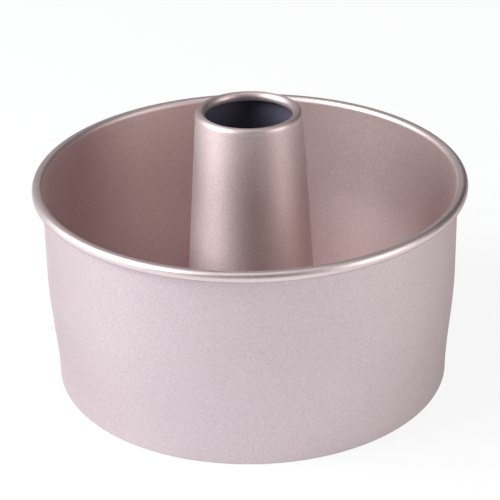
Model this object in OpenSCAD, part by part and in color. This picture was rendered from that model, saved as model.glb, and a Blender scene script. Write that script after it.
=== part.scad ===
// Angel food cake pan in two parts: a ring with a rolled rim, and a loose base with a center tube.
// Every piece but the wire is formed sheet. Each is drawn as the middle line of its sheet, from one
// edge to the other, given the sheet's thickness and turned round the Z axis.
// Millimetres, +Z up. The origin is the middle of the pan on the table.

/* [Ring] */
// Inside diameter of the straight wall
inner_d = 200; // [150:1:260]
// Height of the rim above the table
ring_h = 104; // [80:1:130]
// Thickness of the ring's sheet
ring_sheet = 0.6; // [0.4:0.05:1]
// How far the foot is drawn in from the straight wall, on the radius
draw_in = 3.2; // [1:0.1:6]
// Height at which the wall starts to draw in
shoulder_z = 58; // [30:1:70]
// Radius of the bend at the foot, on the middle line
foot_bend = 1.3; // [0.9:0.1:2.5]
// Width of the ledge that carries the base, from the inside of the wall
ledge_w = 7; // [5:0.5:10]

/* [Rim] */
// Diameter of the wire in the rim
wire_d = 4; // [2.5:0.1:5.5]
// Clearance between the wire and the sheet rolled round it
wire_gap = 0.1; // [0.05:0.05:0.2]
// Gap between the rolled edge and the wall
rim_edge_gap = 0.3; // [0.1:0.1:0.6]

/* [Base plate] */
// Thickness of the plate's sheet
base_sheet = 0.6; // [0.4:0.05:1]
// Clearance between the plate's edge and the bend at the ring's foot
plate_gap = 0.3; // [0.1:0.1:1]
// Clearance between the plate's step and the edge of the ledge
step_gap = 0.5; // [0.2:0.1:1.5]
// Height of the plate's middle above the table
plate_clear = 0.2; // [0.1:0.05:0.3]
// Radius of the two bends of the step, on the middle line
step_bend = 1; // [0.8:0.1:2]
// Diameter of the raised hub at its foot
hub_d = 104; // [95:1:130]
// Height of the hub above the plate's middle
hub_h = 5.4; // [5:0.1:9]
// Slope of the hub's side
hub_slope = 45; // [30:1:60]
// Radius of the bends of the hub, on the middle line
hub_bend = 3; // [1.5:0.1:4]

/* [Center tube] */
// Height of the tube above the table
tube_h = 137.5; // [110:0.5:170]
// Outside diameter of the tube's mouth
tube_top_d = 51.3; // [44:0.1:60]
// Outside diameter that the tube's cone would have on the table
tube_foot_d = 68.8; // [62:0.1:76]
// Thickness of the tube's sheet
tube_sheet = 0.6; // [0.4:0.05:0.8]
// Diameter of the curl at the mouth
lip_d = 4.6; // [3.5:0.1:6]
// Gap between the curled edge and the inside of the tube
lip_edge_gap = 0.3; // [0.1:0.1:0.6]

/* [Seam] */
// Clearance between the hooked layers of the seam
seam_gap = 0.05; // [0.05:0.01:0.1]
// Length over which the two hooks overlap
seam_lap = 1.6; // [1:0.1:2]
// Clearance at the tip of each hook
hook_tip_gap = 0.1; // [0.1:0.05:0.3]
// Radius of the bend from the hub into the collar, on the middle line
collar_bend = 1; // [0.7:0.05:1.1]

/* [Hidden] */

coat_color = [0.80, 0.71, 0.70];
wire_color = [0.62, 0.63, 0.65];

$fn = 180;
// Largest turn between two stations of a bend, in degrees
bend_step = 7.5;
// Number of stations along the wall's draw-in
draw_steps = 24;

// Headings in degrees: outwards, up, inwards and down
OUT = 0;
UP = 90;
IN = 180;
DOWN = 270;

// A station of a middle line is [radius, height, heading]
function ahead(s, length) = [s.x + length * cos(s.z), s.y + length * sin(s.z), s.z];
function turned(s, r, turn) =
    let (c = r * sign(turn), to = s.z + turn)
    [s.x + c * (sin(to) - sin(s.z)), s.y + c * (cos(s.z) - cos(to)), to];

// A move is [length] for a straight stretch or [radius, turn] for a bend, with left turns positive
function leg(s, move) =
    len(move) == 1 ? [ahead(s, move[0])]
    : let (n = ceil(abs(move[1]) / bend_step)) [for (k = [1:n]) turned(s, move[0], move[1] * k / n)];
function follow(s, moves, i = 0) =
    i == len(moves) ? []
    : let (l = leg(s, moves[i])) concat(l, follow(l[len(l) - 1], moves, i + 1));
function line_from(s, moves) = concat([s], follow(s, moves));

// One face of a sheet, at a distance to the left of its middle line
function face(line, left) = [for (s = line) [s.x - left * sin(s.z), s.y + left * cos(s.z)]];
function reversed(list) = [for (i = [len(list) - 1:-1:0]) list[i]];

module sheet(line, thick) {
    rotate_extrude()
        polygon(concat(face(line, thick / 2), reversed(face(line, -thick / 2))));
}

// Turn of a curl of outside radius r, from the wall round to a gap short of the same wall
function curl_turn(r, thick, gap) = 360 - acos((r - thick - gap) / r);

// Ring
wall_r = inner_d / 2 + ring_sheet / 2;
foot_r = wall_r - draw_in;
foot_top_z = ring_sheet / 2 + foot_bend;
foot_flat_r = foot_r - foot_bend;
ledge_edge_r = foot_r - ring_sheet / 2 - ledge_w;
bead_r = wire_d / 2 + wire_gap + ring_sheet;
bead_bend = bead_r - ring_sheet / 2;
bead_z = ring_h - bead_r;

// The wall draws in to the foot along half a wave, from u = 0 at the foot to u = 1 at the shoulder
draw_h = shoulder_z - foot_top_z;
function wall_station(u) = [
    wall_r - draw_in * (1 + cos(180 * u)) / 2,
    foot_top_z + draw_h * u,
    UP - atan(draw_in * PI * sin(180 * u) / (2 * draw_h))
];

ring_line = concat(
    line_from([ledge_edge_r, ring_sheet / 2, OUT], [[foot_flat_r - ledge_edge_r], [foot_bend, 90]]),
    [for (i = [1:draw_steps]) wall_station(i / draw_steps)],
    line_from([wall_r, bead_z, UP], [[bead_bend, -curl_turn(bead_r, ring_sheet, rim_edge_gap)]])
);

module outer_ring() {
    color(coat_color)
        sheet(ring_line, ring_sheet);
}

module rim_wire() {
    color(wire_color)
        rotate_extrude()
            translate([wall_r + bead_bend, bead_z])
                circle(d = wire_d, $fn = 48);
}

// Center tube. Its outer face runs from foot_point, tangent to the curl round lip_center
lip_r = lip_d / 2;
foot_point = [tube_foot_d / 2, 0];
lip_center = [tube_top_d / 2 - lip_r, tube_h - lip_r];
lip_reach = norm(lip_center - foot_point);
lean = atan((foot_point.x - lip_center.x) / lip_center.y) - asin(lip_r / lip_reach);
tube_len = sqrt(lip_reach * lip_reach - lip_r * lip_r);

// A point of the tube at s along its wall from the table, and a distance out from its middle line
function tube_point(out, s) = [
    foot_point.x + (out - tube_sheet / 2) * cos(lean) - s * sin(lean),
    (out - tube_sheet / 2) * sin(lean) + s * cos(lean)
];
function s_at(out, z) = (z - (out - tube_sheet / 2) * sin(lean)) / cos(lean);
function tube_station(out, s, heading) = concat(tube_point(out, s), heading + lean);

// Seam. From the inside out its layers are tube, collar, tube hook, collar hook and tube again, and
// they lie one pitch apart. hook_s is the level of the hooks' upper bends, and turn_s of the lower ones
plate_z = plate_clear + base_sheet / 2;
hub_z = plate_z + hub_h;
pitch = (tube_sheet + base_sheet) / 2 + seam_gap;
hook_top_z = hub_z - base_sheet / 2 - seam_gap;
hook_s = s_at(3 * pitch, hook_top_z - pitch - tube_sheet / 2);
turn_s = hook_s - seam_lap - hook_tip_gap;

tube_line = line_from(
    tube_station(2 * pitch, hook_s - seam_lap, UP),
    [
        [seam_lap],
        [pitch, -180],
        [hook_s - turn_s],
        [2 * pitch, -180],
        [tube_len - turn_s],
        [lip_r - tube_sheet / 2, curl_turn(lip_r, tube_sheet, lip_edge_gap)]
    ]
);

module center_tube() {
    color(coat_color)
        sheet(tube_line, tube_sheet);
}

// Base plate, from its edge on the ledge, down the step, up the hub and round into the collar
seat_z = ring_sheet + base_sheet / 2;
plate_edge_r = foot_flat_r - plate_gap;
step_r = ledge_edge_r - step_gap;
step_slope = acos(1 - (seat_z - plate_z) / (2 * step_bend));
step_run = 2 * step_bend * sin(step_slope);
hub_side = (hub_h - 2 * hub_bend * (1 - cos(hub_slope))) / sin(hub_slope);
hub_run = 2 * hub_bend * sin(hub_slope) + hub_side * cos(hub_slope);
collar_out = pitch + collar_bend;
collar_s = s_at(collar_out, hub_z - collar_bend);
collar_start_r = tube_point(collar_out, collar_s).x;

plate_line = line_from(
    [plate_edge_r, seat_z, IN],
    [
        [plate_edge_r - step_r],
        [step_bend, step_slope],
        [step_bend, -step_slope],
        [step_r - step_run - hub_d / 2],
        [hub_bend, -hub_slope],
        [hub_side],
        [hub_bend, hub_slope],
        [hub_d / 2 - hub_run - collar_start_r],
        [collar_bend, DOWN + lean - IN],
        [collar_s - turn_s],
        [pitch, 180],
        [seam_lap]
    ]
);

module base_plate() {
    color(coat_color)
        sheet(plate_line, base_sheet);
}

outer_ring();
rim_wire();
base_plate();
center_tube();
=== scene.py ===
"""Dresses a two-part tube pan: ring, base plate, center tube, their coating and a small studio."""

import math

import bpy
from mathutils import Matrix, Vector


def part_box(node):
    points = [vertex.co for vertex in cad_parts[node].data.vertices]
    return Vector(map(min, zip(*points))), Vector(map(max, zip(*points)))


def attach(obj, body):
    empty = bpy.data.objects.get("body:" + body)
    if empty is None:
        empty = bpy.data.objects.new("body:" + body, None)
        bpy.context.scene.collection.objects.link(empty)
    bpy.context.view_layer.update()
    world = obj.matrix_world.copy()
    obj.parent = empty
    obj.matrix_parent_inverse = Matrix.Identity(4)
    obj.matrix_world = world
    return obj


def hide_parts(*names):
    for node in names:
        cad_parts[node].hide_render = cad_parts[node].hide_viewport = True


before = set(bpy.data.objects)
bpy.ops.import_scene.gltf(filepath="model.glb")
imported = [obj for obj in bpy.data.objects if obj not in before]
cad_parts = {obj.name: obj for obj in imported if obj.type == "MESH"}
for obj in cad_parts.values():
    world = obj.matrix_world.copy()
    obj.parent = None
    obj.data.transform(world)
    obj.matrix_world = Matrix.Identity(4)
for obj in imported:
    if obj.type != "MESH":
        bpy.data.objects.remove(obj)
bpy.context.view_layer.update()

bl_info = {
    "name": "Tube Cake Pan",
    "version": (1, 0, 0),
    "blender": (4, 5, 0),
    "location": "3D View > Sidebar > Cake Pan",
    "description": "Sheet metal, coating and studio of a two-part tube cake pan",
    "category": "Add Mesh",
}

MM = 0.001

# Headings of a sheet's middle line, in degrees
OUT, UP, IN, DOWN = 0.0, 90.0, 180.0, 270.0

# How far a piece may stand off its frame node's box
FIT = 0.3 * MM

# The burnish fades in over these distances: inside and outside the wall's inner face, and below each top
WALL_FADE = (0.2 * MM, 1.2 * MM)
RIM_FADE = (6.5 * MM, 5 * MM)
CURL_FADE = (3.7 * MM, 2.3 * MM)

WHITE = (1, 1, 1, 1)
COOL_WHITE = (0.92, 0.94, 1, 1)
FLOOR_PAINT = (0.88, 0.89, 0.93, 1)
DIM_SKY = (0.04, 0.04, 0.04, 1)

# How much of the floor is plain white to the camera, and to what reflects it
FLOOR_SEEN, FLOOR_REFLECTED = 0.88, 0.44

# Soft boxes: name, heading from the camera's side and elevation in degrees, width and height in metres,
# power in watts, tint
LAMPS = (
    ("left_box", -76, 36, 1.0, 0.8, 37.5, (0.95, 0.98, 1)),
    ("right_box", 64, 22, 0.6, 1.0, 8.6, (1, 0.96, 0.93)),
    ("back_box", 192, 32, 1.8, 0.8, 2.2, (1, 1, 1)),
    ("top_box", 0, 84, 1.4, 1.3, 5.4, (1, 1, 1)),
    ("high_box", 80, 45, 0.5, 0.5, 1, (1, 1, 1)),
)
LAMP_DISTANCE = 1.6
LAMP_AIM = Vector((0, 0, 0.06))


def length(name, description, millimetres):
    """A length that shows in the panel, with its default given in millimetres."""
    return bpy.props.FloatProperty(
        name=name,
        description=description,
        default=millimetres * MM,
        unit="LENGTH",
        subtype="DISTANCE",
        precision=5,
    )


def angle(name, description, degrees):
    """An angle that shows in the panel."""
    return bpy.props.FloatProperty(
        name=name,
        description=description,
        default=math.radians(degrees),
        subtype="ANGLE",
    )


def colour(name, description, rgb):
    """A linear colour that shows in the panel."""
    return bpy.props.FloatVectorProperty(
        name=name,
        description=description,
        default=rgb,
        subtype="COLOR",
        min=0,
        max=1,
    )


class RingSizes(bpy.types.PropertyGroup):
    inner_d: length("Inside diameter", "Inside diameter of the straight wall", 200)
    height: bpy.props.FloatProperty(
        name="Height",
        description="Height of the rim above the table",
        default=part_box("outer_ring")[1].z,
        unit="LENGTH",
        subtype="DISTANCE",
    )
    sheet: length("Sheet", "Thickness of the ring's sheet", 0.6)
    draw_in: length("Draw-in", "How far the foot is drawn in from the straight wall, on the radius", 3.2)
    shoulder_z: length("Shoulder", "Height at which the wall starts to draw in", 58)
    foot_bend: length("Foot bend", "Middle-line radius of the bend at the foot", 1.3)
    ledge_w: length("Ledge", "Width of the ledge that carries the base", 7)
    wire_d: length("Wire", "Diameter of the wire in the rim", 4)
    wire_gap: length("Wire gap", "Clearance between the wire and the sheet round it", 0.1)
    edge_gap: length("Rolled edge gap", "Gap between the rolled edge and the wall", 0.3)


class BaseSizes(bpy.types.PropertyGroup):
    sheet: length("Sheet", "Thickness of the plate's sheet", 0.6)
    edge_gap: length(
        "Edge gap",
        "Clearance between the plate's edge and the bend at the ring's foot",
        0.3,
    )
    step_gap: length("Step gap", "Clearance between the plate's step and the ledge", 0.5)
    clear: length("Clearance", "Height of the plate's middle above the table", 0.2)
    step_bend: length("Step bend", "Middle-line radius of the bends of the step", 1)
    hub_d: length("Hub diameter", "Diameter of the raised hub at its foot", 104)
    hub_h: length("Hub height", "Height of the hub above the plate's middle", 5.4)
    hub_bend: length("Hub bend", "Middle-line radius of the bends of the hub", 3)
    collar_bend: length("Collar bend", "Middle-line radius of the bend into the collar", 1)
    hub_slope: angle("Hub slope", "Slope of the hub's side", 45)


class TubeSizes(bpy.types.PropertyGroup):
    height: bpy.props.FloatProperty(
        name="Height",
        description="Height of the tube above the table",
        default=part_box("center_tube")[1].z,
        unit="LENGTH",
        subtype="DISTANCE",
    )
    top_d: length("Mouth diameter", "Outside diameter of the tube's mouth", 51.3)
    foot_d: length("Foot diameter", "Outside diameter that the cone would have on the table", 68.8)
    sheet: length("Sheet", "Thickness of the tube's sheet", 0.6)
    lip_d: length("Curl", "Diameter of the curl at the mouth", 4.6)
    lip_gap: length("Curled edge gap", "Gap between the curled edge and the inside of the tube", 0.3)
    seam_gap: length("Seam gap", "Clearance between the hooked layers of the seam", 0.05)
    seam_lap: length("Seam lap", "Length over which the hooks overlap", 1.6)
    hook_gap: length("Hook gap", "Clearance at the tip of each hook", 0.1)


class Finish(bpy.types.PropertyGroup):
    # The inside colours are tinted warmer than the outside ones as painted shade of light bounced inside
    # the pan, and the outside colours are tinted greyer as painted light.
    coat_light: colour(
        "Inside coat, light",
        "Lighter flakes of the warm coating inside",
        (0.77, 0.634, 0.628),
    )
    coat_deep: colour(
        "Inside coat, deep",
        "Darker ground of the warm coating inside",
        (0.64, 0.524, 0.518),
    )
    outer_light: colour(
        "Outside coat, light",
        "Lighter flakes of the greyer coating outside",
        (0.765, 0.664, 0.671),
    )
    outer_deep: colour(
        "Outside coat, deep",
        "Darker ground of the greyer coating outside",
        (0.635, 0.550, 0.557),
    )
    coat_worn: colour(
        "Coat, worn",
        "Thin, burnished coating along the rolled edges",
        (0.85, 0.735, 0.74),
    )
    coat_edge: colour(
        "Coat, grazing",
        "Tint of the coating's reflections at a grazing angle",
        (0.5, 0.42, 0.40),
    )
    # Dark blue-grey given to the inside face of the tube.
    tube_inside: colour("Lining", "Dark coat inside the tube", (0.122, 0.118, 0.170))
    steel: colour("Steel", "Bare steel of the cut edges and the wire", (0.50, 0.50, 0.51))


class Studio(bpy.types.PropertyGroup):
    lens: bpy.props.FloatProperty(
        name="Lens",
        description="Focal length, on a 36 mm sensor",
        default=132.6,
        unit="CAMERA",
    )
    distance: length("Distance", "From the camera to the point it looks at", 911.5)
    aim_x: length("Aim across", "How far the point it looks at lies to the right", -0.5)
    aim_z: length("Aim height", "Height of the point it looks at", 62.6)
    elevation: angle("Elevation", "How far the camera looks down", 26.82)
    roll: angle("Roll", "Turn of the camera about its own axis", -0.96)
    floor_size: length("Floor", "Width of the floor", 6000)


def ahead(s, run):
    """The station at a distance straight on. A station is (radius, height, heading in degrees)."""
    r, z, way = s
    return (r + run * math.cos(math.radians(way)), z + run * math.sin(math.radians(way)), way)


def turned(s, radius, turn):
    """The station at the end of a bend; left turns are positive."""
    r, z, way = s
    c = math.copysign(radius, turn)
    a, b = math.radians(way), math.radians(way + turn)
    return (r + c * (math.sin(b) - math.sin(a)), z + c * (math.cos(a) - math.cos(b)), way + turn)


def line_from(start, moves, step=5.0):
    """Middle line from a start through moves: (length,) goes straight on and (radius, turn) bends."""
    line = [start]
    for move in moves:
        if len(move) == 1:
            line.append(ahead(line[-1], move[0]))
        else:
            s = line[-1]
            n = math.ceil(abs(move[1]) / step)
            line += [turned(s, move[0], move[1] * k / n) for k in range(1, n + 1)]
    return line


def curl_turn(radius, sheet, gap):
    """Turn of a curl from the wall round to a gap short of the same wall."""
    return 360 - math.degrees(math.acos((radius - sheet - gap) / radius))


class Layout:
    """Where the sheets' middle lines run, worked out from the sizes in the panel."""

    def __init__(self, scene):
        ring, base, tube = scene.pan_ring, scene.pan_base, scene.pan_tube
        self.ring, self.base, self.tube = ring, base, tube
        self.wall_r = ring.inner_d / 2 + ring.sheet / 2
        self.foot_r = self.wall_r - ring.draw_in
        self.foot_top_z = ring.sheet / 2 + ring.foot_bend
        self.foot_flat_r = self.foot_r - ring.foot_bend
        self.ledge_edge_r = self.foot_r - ring.sheet / 2 - ring.ledge_w
        self.bead_r = ring.wire_d / 2 + ring.wire_gap + ring.sheet

        lip_r = tube.lip_d / 2
        foot = Vector((tube.foot_d / 2, 0))
        lip = Vector((tube.top_d / 2 - lip_r, tube.height - lip_r))
        reach = (lip - foot).length
        self.lean = math.atan((foot.x - lip.x) / lip.y) - math.asin(lip_r / reach)
        self.tube_len = math.sqrt(reach * reach - lip_r * lip_r)

        self.plate_z = base.clear + base.sheet / 2
        self.hub_z = self.plate_z + base.hub_h
        self.pitch = (tube.sheet + base.sheet) / 2 + tube.seam_gap
        hook_top_z = self.hub_z - base.sheet / 2 - tube.seam_gap
        self.hook_s = self.along(3 * self.pitch, hook_top_z - self.pitch - tube.sheet / 2)
        self.turn_s = self.hook_s - tube.seam_lap - tube.hook_gap

    def along(self, out, z):
        """Distance along the tube's wall to a height, for a point that lies out from its middle line."""
        return (z - (out - self.tube.sheet / 2) * math.sin(self.lean)) / math.cos(self.lean)

    def tube_station(self, out, s, way):
        """A station beside the tube's wall, out from its middle line and s along it from the table."""
        o = out - self.tube.sheet / 2
        c, n = math.cos(self.lean), math.sin(self.lean)
        return (self.tube.foot_d / 2 + o * c - s * n, o * n + s * c, way + math.degrees(self.lean))

    def ring_line(self, steps=48):
        """Ledge, foot bend, drawn-in wall, straight wall and rolled rim."""
        ring = self.ring
        rise = ring.shoulder_z - self.foot_top_z
        start = (self.ledge_edge_r, ring.sheet / 2, OUT)
        line = line_from(start, [(self.foot_flat_r - self.ledge_edge_r,), (ring.foot_bend, 90)])
        for k in range(1, steps + 1):
            u = math.pi * k / steps
            slope = ring.draw_in * math.pi * math.sin(u) / (2 * rise)
            r = self.wall_r - ring.draw_in * (1 + math.cos(u)) / 2
            line.append((r, self.foot_top_z + rise * k / steps, UP - math.degrees(math.atan(slope))))
        bend = self.bead_r - ring.sheet / 2
        roll = (bend, -curl_turn(self.bead_r, ring.sheet, ring.edge_gap))
        return line + line_from((self.wall_r, ring.height - self.bead_r, UP), [roll])

    def tube_line(self):
        """Hook tip, seam, cone and curl."""
        tube = self.tube
        return line_from(
            self.tube_station(2 * self.pitch, self.hook_s - tube.seam_lap, UP),
            [
                (tube.seam_lap,),
                (self.pitch, -180),
                (self.hook_s - self.turn_s,),
                (2 * self.pitch, -180),
                (self.tube_len - self.turn_s,),
                ((tube.lip_d - tube.sheet) / 2, curl_turn(tube.lip_d / 2, tube.sheet, tube.lip_gap)),
            ],
        )

    def plate_line(self):
        """Edge on the ledge, step, flat, hub, collar and hook."""
        base = self.base
        seat_z = self.ring.sheet + base.sheet / 2
        edge_r = self.foot_flat_r - base.edge_gap
        step_r = self.ledge_edge_r - base.step_gap
        step_slope = math.acos(1 - (seat_z - self.plate_z) / (2 * base.step_bend))
        step_run = 2 * base.step_bend * math.sin(step_slope)
        slope = base.hub_slope
        side = (base.hub_h - 2 * base.hub_bend * (1 - math.cos(slope))) / math.sin(slope)
        hub_run = 2 * base.hub_bend * math.sin(slope) + side * math.cos(slope)
        out = self.pitch + base.collar_bend
        collar_s = self.along(out, self.hub_z - base.collar_bend)
        collar_r = self.tube_station(out, collar_s, 0)[0]
        return line_from(
            (edge_r, seat_z, IN),
            [
                (edge_r - step_r,),
                (base.step_bend, math.degrees(step_slope)),
                (base.step_bend, -math.degrees(step_slope)),
                (step_r - step_run - base.hub_d / 2,),
                (base.hub_bend, -math.degrees(slope)),
                (side,),
                (base.hub_bend, math.degrees(slope)),
                (base.hub_d / 2 - hub_run - collar_r,),
                (base.collar_bend, DOWN - IN + math.degrees(self.lean)),
                (collar_s - self.turn_s,),
                (self.pitch, 180),
                (self.tube.seam_lap,),
            ],
        )


def turned_sheet(name, line, sheet, slots, segments=256):
    """A sheet turned round the Z axis. slots: the materials of its left face, right face and cut edges."""

    def offset(side):
        return [
            (r - side * math.sin(math.radians(w)), z + side * math.cos(math.radians(w))) for r, z, w in line
        ]

    left, right = offset(sheet / 2), offset(-sheet / 2)
    outline = left + right[::-1]
    count, lefts = len(outline), len(left)
    verts = []
    for k in range(segments):
        a = 2 * math.pi * k / segments
        verts += [(r * math.cos(a), r * math.sin(a), z) for r, z in outline]
    faces, marks = [], []
    for k in range(segments):
        here, there = k * count, (k + 1) % segments * count
        for i in range(count):
            j = (i + 1) % count
            faces.append((here + i, here + j, there + j, there + i))
            marks.append(2 if i in (lefts - 1, count - 1) else (0 if i < lefts - 1 else 1))
    mesh = bpy.data.meshes.new(name)
    mesh.from_pydata(verts, [], faces)
    mesh.polygons.foreach_set("material_index", [slots[m] for m in marks])
    mesh.polygons.foreach_set("use_smooth", [True] * len(faces))
    corners = {0, lefts - 1, lefts, count - 1}
    for edge in mesh.edges:
        a, b = edge.vertices
        edge.use_edge_sharp = a % count == b % count and a % count in corners
    mesh.update()
    mesh.validate()
    piece = bpy.data.objects.new(name, mesh)
    bpy.context.scene.collection.objects.link(piece)
    return piece


class Field:
    """A value that varies over a surface. Arithmetic on it adds Math nodes."""

    def __init__(self, tree, socket):
        self.tree, self.socket = tree, socket

    def _math(self, operation, a, b):
        node = self.tree.nodes.new("ShaderNodeMath")
        node.operation = operation
        for socket, value in zip(node.inputs, (a, b)):
            if isinstance(value, Field):
                self.tree.links.new(value.socket, socket)
            else:
                socket.default_value = value
        return Field(self.tree, node.outputs[0])

    def __add__(self, other):
        return self._math("ADD", self, other)

    __radd__ = __add__

    def __sub__(self, other):
        return self._math("SUBTRACT", self, other)

    def __rsub__(self, other):
        return self._math("SUBTRACT", other, self)

    def __mul__(self, other):
        return self._math("MULTIPLY", self, other)

    __rmul__ = __mul__


class Recipe:
    """The node tree of one material or world."""

    def __init__(self, tree):
        self.tree = tree
        tree.nodes.clear()

    def add(self, kind, settings=None, output=0, **sockets):
        """Adds a node: its settings first, then values or links for its sockets. Returns one output."""
        node = self.tree.nodes.new("ShaderNode" + kind)
        for key, value in (settings or {}).items():
            setattr(node, key, value)
        for key, value in sockets.items():
            name = key.replace("_", " ")
            socket = next(s for s in node.inputs if s.enabled and (s.name == name or s.identifier == key))
            if isinstance(value, Field):
                self.tree.links.new(value.socket, socket)
            else:
                socket.default_value = value
        return Field(self.tree, node.outputs[output]) if node.outputs else None

    def blend(self, amount, first, second):
        """A colour between two colours."""
        return self.add("Mix", {"data_type": "RGBA"}, output=2, Factor=amount, A=first, B=second)


def rgba(value):
    return (*value, 1.0)


def new_material(name):
    material = bpy.data.materials.new(name)
    material.use_nodes = True
    return material, Recipe(material.node_tree)


def rolled_edges(r, place):
    """1 on the rolled rim, a half on the tube's curl, and 0 on the plain sheet."""
    height = r.add("SeparateXYZ", output=2, Vector=place)
    flat = r.add("VectorMath", {"operation": "MULTIPLY"}, Vector=place, Vector_001=(1, 1, 0))
    radius = r.add("VectorMath", {"operation": "LENGTH"}, output=1, Vector=flat)
    ring, tube = bpy.context.scene.pan_ring, bpy.context.scene.pan_tube
    wall = ring.inner_d / 2

    def fade(value, start, full):
        return r.add("MapRange", Value=value, From_Min=start, From_Max=full)

    outside = fade(radius, wall - WALL_FADE[0], wall + WALL_FADE[1])
    rim = fade(height, ring.height - RIM_FADE[0], ring.height - RIM_FADE[1])
    curl = fade(height, tube.height - CURL_FADE[0], tube.height - CURL_FADE[1])
    return outside * rim + curl * 0.5


def flake_coat(finish, name, light, deep, brushed=0.0):
    """Satin metallic non-stick coating: fine flake over a faint cloud, worn bright on the rolled edges."""
    material, r = new_material(name)
    place = r.add("TexCoord", output=3)
    flake = r.add("TexNoise", Vector=place, Scale=1100.0, Detail=2.0, Roughness=0.7)
    cloud = r.add("TexNoise", Vector=place, Scale=22.0, Detail=3.0, Roughness=0.55)
    peel = r.add("TexNoise", Vector=place, Scale=700.0, Detail=1.0)
    rolled = rolled_edges(r, place)
    worn = rolled * (0.6 + (cloud - 0.5) * 0.8)
    shade = 0.5 + (flake - 0.5) * 2.9 + (cloud - 0.5) * 0.55
    # light and deep carry the coat's tint: warmer inside as painted shade, greyer outside as painted light.
    coat_here = r.blend(shade, rgba(deep), rgba(light))
    colour_here = r.blend(worn, coat_here, rgba(finish.coat_worn))
    rough = 0.61 + (flake - 0.5) * 0.2 + (cloud - 0.5) * 0.06 - rolled * 0.17
    bump = r.add("Bump", Strength=0.3, Distance=0.00003, Height=flake * 0.6 + peel * 0.4)
    metal = r.add(
        "BsdfPrincipled",
        Base_Color=colour_here,
        Roughness=rough,
        Normal=bump,
        Metallic=1.0,
        Specular_Tint=rgba(finish.coat_edge),
        Anisotropic=brushed,
        Anisotropic_Rotation=0.25,
    )
    r.add("OutputMaterial", Surface=metal)
    return material


def shaded_inside_coat(finish):
    """The coating inside the pan and over its rim, tinted warmer than outside as painted shade: the browner
    look of light bounced inside the pan.
    """
    return flake_coat(finish, "shaded_inside_coat", finish.coat_light, finish.coat_deep)


def lit_outside_coat(finish):
    """The coating of the outside, tinted greyer than inside as painted light: the paler look of its
    brightly lit sides.
    """
    return flake_coat(finish, "lit_outside_coat", finish.outer_light, finish.outer_deep)


def tube_coat(finish):
    """The inside coating, with its warm painted shade, over metal that was brushed round the tube's axis.
    """
    return flake_coat(finish, "tube_coat", finish.coat_light, finish.coat_deep, 0.4)


def dark_tube_inside(finish):
    """Dark blue-grey inside face of the tube, a little streaky."""
    material, r = new_material("dark_tube_inside")
    place = r.add("TexCoord", output=3)
    grain = r.add("TexNoise", Vector=place, Scale=900.0, Detail=2.0)
    cloud = r.add("TexNoise", Vector=place, Scale=40.0, Detail=3.0)
    tube_inside = Vector(finish.tube_inside)
    shade = 0.5 + (grain - 0.5) * 0.8 + (cloud - 0.5) * 0.6
    colour_here = r.blend(shade, rgba(tube_inside * 0.75), rgba(tube_inside * 1.35))
    rough = 0.62 + (grain - 0.5) * 0.15
    bump = r.add("Bump", Strength=0.2, Distance=0.00003, Height=grain)
    coat = r.add(
        "BsdfPrincipled",
        Base_Color=colour_here,
        Roughness=rough,
        Normal=bump,
        Metallic=0.5,
        Specular_IOR_Level=1.0,
    )
    r.add("OutputMaterial", Surface=coat)
    return material


def bare_steel(finish):
    """Cut or drawn steel with fine scratches and a trace of oil colour."""
    material, r = new_material("bare_steel")
    place = r.add("TexCoord", output=3)
    scratch = r.add("TexNoise", Vector=place, Scale=2600.0, Detail=3.0)
    stain = r.add("TexNoise", Vector=place, Scale=60.0, Detail=2.0)
    steel = Vector(finish.steel)
    colour_here = r.blend(stain, rgba(steel * 0.8), rgba(steel * 1.1))
    rough = 0.34 + (scratch - 0.5) * 0.25
    bump = r.add("Bump", Strength=0.3, Distance=0.00004, Height=scratch)
    metal = r.add("BsdfPrincipled", Base_Color=colour_here, Roughness=rough, Normal=bump, Metallic=1.0)
    r.add("OutputMaterial", Surface=metal)
    return material


def material_named(name):
    """The finished material, made when it is first asked for."""
    found = bpy.data.materials.get(name)
    makers = {
        "shaded_inside_coat": shaded_inside_coat,
        "lit_outside_coat": lit_outside_coat,
        "tube_coat": tube_coat,
        "dark_tube_inside": dark_tube_inside,
        "bare_steel": bare_steel,
    }
    return found or makers[name](bpy.context.scene.pan_finish)


def dress(piece, names):
    for name in names:
        piece.data.materials.append(material_named(name))


def seat(piece, node, body):
    """Puts a piece on its body in the place of a CAD node, and stops if it doesn't fit that node's box."""
    low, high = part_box(node)
    corners = [v.co for v in piece.data.vertices]
    for axis in range(3):
        reach = min(c[axis] for c in corners), max(c[axis] for c in corners)
        if abs(reach[0] - low[axis]) > FIT or abs(reach[1] - high[axis]) > FIT:
            raise RuntimeError(f"{piece.name} doesn't fit the frame's {node} along axis {axis}: {reach}")
    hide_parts(node)
    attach(piece, body)


class PAN_OT_outer_ring(bpy.types.Operator):
    """Add the ring with its rolled rim and its ledge"""

    bl_idname = "pan.outer_ring"
    bl_label = "Outer ring"

    def execute(self, context):
        layout = Layout(context.scene)
        piece = turned_sheet("ring_sheet", layout.ring_line(), layout.ring.sheet, (0, 2, 1))
        dress(piece, ("shaded_inside_coat", "bare_steel", "lit_outside_coat"))
        seat(piece, "outer_ring", "ring")
        return {"FINISHED"}


class PAN_OT_base_plate(bpy.types.Operator):
    """Add the loose base plate with its step, hub and collar"""

    bl_idname = "pan.base_plate"
    bl_label = "Base plate"

    def execute(self, context):
        layout = Layout(context.scene)
        piece = turned_sheet("plate_sheet", layout.plate_line(), layout.base.sheet, (0, 2, 1))
        dress(piece, ("lit_outside_coat", "bare_steel", "shaded_inside_coat"))
        seat(piece, "base_plate", "base")
        return {"FINISHED"}


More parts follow.
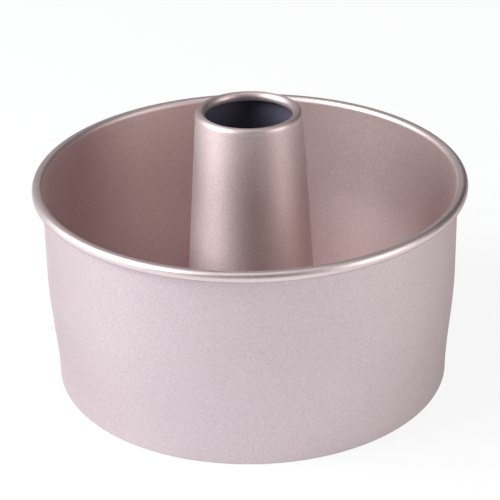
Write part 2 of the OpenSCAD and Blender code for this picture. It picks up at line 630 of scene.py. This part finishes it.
class PAN_OT_center_tube(bpy.types.Operator):
    """Add the center tube with its curl, its seam and its dark inside face"""

    bl_idname = "pan.center_tube"
    bl_label = "Center tube"

    def execute(self, context):
        layout = Layout(context.scene)
        piece = turned_sheet("tube_sheet", layout.tube_line(), layout.tube.sheet, (2, 0, 1), segments=192)
        dress(piece, ("tube_coat", "bare_steel", "dark_tube_inside"))
        seat(piece, "center_tube", "base")
        return {"FINISHED"}


class PAN_OT_rim_wire(bpy.types.Operator):
    """Finish the wire inside the rim in bare steel"""

    bl_idname = "pan.rim_wire"
    bl_label = "Rim wire"

    def execute(self, context):
        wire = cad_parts["rim_wire"]
        wire.data.materials.clear()
        wire.data.materials.append(material_named("bare_steel"))
        return {"FINISHED"}


def rays(r, *kinds):
    """1 for rays of these kinds, and 0 for the others."""
    return sum(r.add("LightPath", output=f"Is {kind} Ray") for kind in kinds)


def pale_floor(size):
    """Plain white floor that keeps a soft shadow."""
    half = size / 2
    mesh = bpy.data.meshes.new("floor")
    corners = [(-half, -half, 0), (half, -half, 0), (half, half, 0), (-half, half, 0)]
    mesh.from_pydata(corners, [], [(0, 1, 2, 3)])
    floor = bpy.data.objects.new("floor", mesh)
    bpy.context.scene.collection.objects.link(floor)
    floor.location.z = -0.05 * MM
    material, r = new_material("floor")
    paint = r.add("BsdfDiffuse", Color=FLOOR_PAINT)
    glow = r.add("Emission", Color=r.blend(rays(r, "Camera"), COOL_WHITE, WHITE), Strength=1.0)
    share = rays(r, "Camera") * FLOOR_SEEN + rays(r, "Glossy", "Transmission") * FLOOR_REFLECTED
    r.add("OutputMaterial", Surface=r.add("MixShader", Fac=share, Shader=paint, Shader_001=glow))
    material.cycles.emission_sampling = "NONE"
    mesh.materials.append(material)
    return floor


def soft_box(name, heading, elevation, width, height, power, tint):
    """A rectangular lamp that faces the pan."""
    a, e = math.radians(heading), math.radians(elevation)
    way = Vector((math.sin(a) * math.cos(e), -math.cos(a) * math.cos(e), math.sin(e)))
    light = bpy.data.lights.new(name, "AREA")
    light.shape = "RECTANGLE"
    light.size, light.size_y = width, height
    light.energy = power
    light.color = tint
    lamp = bpy.data.objects.new(name, light)
    bpy.context.scene.collection.objects.link(lamp)
    lamp.location = LAMP_AIM + way * LAMP_DISTANCE
    lamp.rotation_euler = (-way).to_track_quat("-Z", "Y").to_euler()
    lamp.visible_camera = False
    return lamp


def pale_world():
    """White behind the pan, and for its reflections white at the horizon and dim overhead."""
    world = bpy.data.worlds.new("studio")
    world.use_nodes = True
    bpy.context.scene.world = world
    r = Recipe(world.node_tree)
    height = r.add("SeparateXYZ", output=2, Vector=r.add("TexCoord"))
    overhead = r.add("MapRange", Value=height, From_Min=0.0, From_Max=0.1)
    colour_here = r.blend(overhead * (1 - rays(r, "Camera")), WHITE, DIM_SKY)
    sky = r.add("Background", Color=colour_here, Strength=1.0)
    r.add("OutputWorld", Surface=sky)


def photo_camera(studio):
    """Camera at the photograph's distance, height and tilt."""
    camera = bpy.data.objects.new("camera", bpy.data.cameras.new("camera"))
    bpy.context.scene.collection.objects.link(camera)
    camera.data.lens = studio.lens
    camera.data.sensor_width = 36
    camera.data.clip_start = 0.01
    look = Vector((0, math.cos(studio.elevation), -math.sin(studio.elevation)))
    right = Vector((1, 0, 0))
    up = right.cross(look)
    c, s = math.cos(studio.roll), math.sin(studio.roll)
    turned_right, turned_up = right * c + up * s, up * c - right * s
    place = Vector((studio.aim_x, 0, studio.aim_z)) - look * studio.distance
    turn = Matrix((turned_right, turned_up, -look)).transposed()
    camera.matrix_world = Matrix.Translation(place) @ turn.to_4x4()
    bpy.context.scene.camera = camera


class PAN_OT_studio(bpy.types.Operator):
    """Add the floor, the soft lights and the camera"""

    bl_idname = "pan.studio"
    bl_label = "Studio"

    def execute(self, context):
        studio = context.scene.pan_studio
        photo_camera(studio)
        pale_floor(studio.floor_size)
        pale_world()
        for lamp in LAMPS:
            soft_box(*lamp)
        context.scene.view_settings.view_transform = "Standard"
        return {"FINISHED"}


class PAN_PT_panel(bpy.types.Panel):
    """Buttons that build the pan and its studio"""

    bl_label = "Tube Cake Pan"
    bl_idname = "PAN_PT_panel"
    bl_space_type = "VIEW_3D"
    bl_region_type = "UI"
    bl_category = "Cake Pan"

    def draw(self, context):
        for operator in OPERATORS:
            self.layout.operator(operator.bl_idname)
        for group in GROUPS:
            settings = getattr(context.scene, group)
            box = self.layout.box()
            for name in type(settings).__annotations__:
                box.prop(settings, name)


GROUPS = {
    "pan_ring": RingSizes,
    "pan_base": BaseSizes,
    "pan_tube": TubeSizes,
    "pan_finish": Finish,
    "pan_studio": Studio,
}
OPERATORS = (PAN_OT_outer_ring, PAN_OT_rim_wire, PAN_OT_base_plate, PAN_OT_center_tube, PAN_OT_studio)


def register():
    for cls in (*GROUPS.values(), *OPERATORS, PAN_PT_panel):
        bpy.utils.register_class(cls)
    for name, cls in GROUPS.items():
        setattr(bpy.types.Scene, name, bpy.props.PointerProperty(type=cls))


def unregister():
    for name in GROUPS:
        delattr(bpy.types.Scene, name)
    for cls in (PAN_PT_panel, *reversed(OPERATORS), *reversed(GROUPS.values())):
        bpy.utils.unregister_class(cls)


def main():
    register()
    bpy.ops.pan.outer_ring()
    bpy.ops.pan.rim_wire()
    bpy.ops.pan.base_plate()
    bpy.ops.pan.center_tube()
    bpy.ops.pan.studio()


if __name__ == "__main__":
    main()
